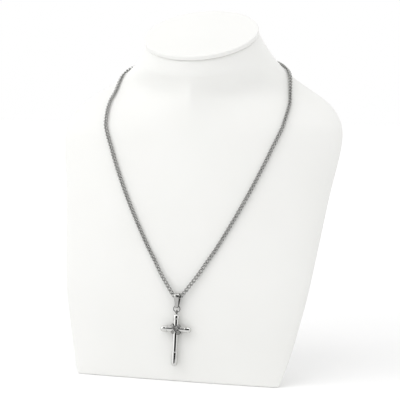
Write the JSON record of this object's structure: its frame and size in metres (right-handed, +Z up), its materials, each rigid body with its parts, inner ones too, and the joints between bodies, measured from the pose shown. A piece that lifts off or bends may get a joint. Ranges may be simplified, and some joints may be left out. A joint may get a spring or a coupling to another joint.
{
  "type": "cross necklace on a neck bust",
  "caption": "Cross pendant of round rods with capped ends and crossed wire bands, on a curb chain round a plain white neck bust.",
  "frame": {"origin": "on the table under the middle of the whole outline", "axes": "+Z up, the chest and the pendant face -Y, +X to the viewer's right"},
  "size_m": [0.2368, 0.1298, 0.2918],
  "materials": {
    "bust_cover": "smooth matte white",
    "steel": "polished stainless steel"
  },
  "bodies": {
    "display": {"neck_bust": "bust_cover", "neck_cap": "bust_cover", "chain_left": "steel", "chain_right": "steel", "clasp": "steel"},
    "pendant": {"bail": "steel", "jump_ring": "steel", "cross_rods": "steel", "cap_head": "steel", "cap_foot": "steel", "cap_left": "steel", "cap_right": "steel", "band_under": "steel", "band_over": "steel"}
  },
  "joints": [
    {"name": "pendant_swing", "type": "hinge", "parent": "display", "child": "pendant", "pos_m": [0, -0.05391, 0.06595], "axis": [-1, 0, 0], "range_deg": [0, 70]}
  ]
}
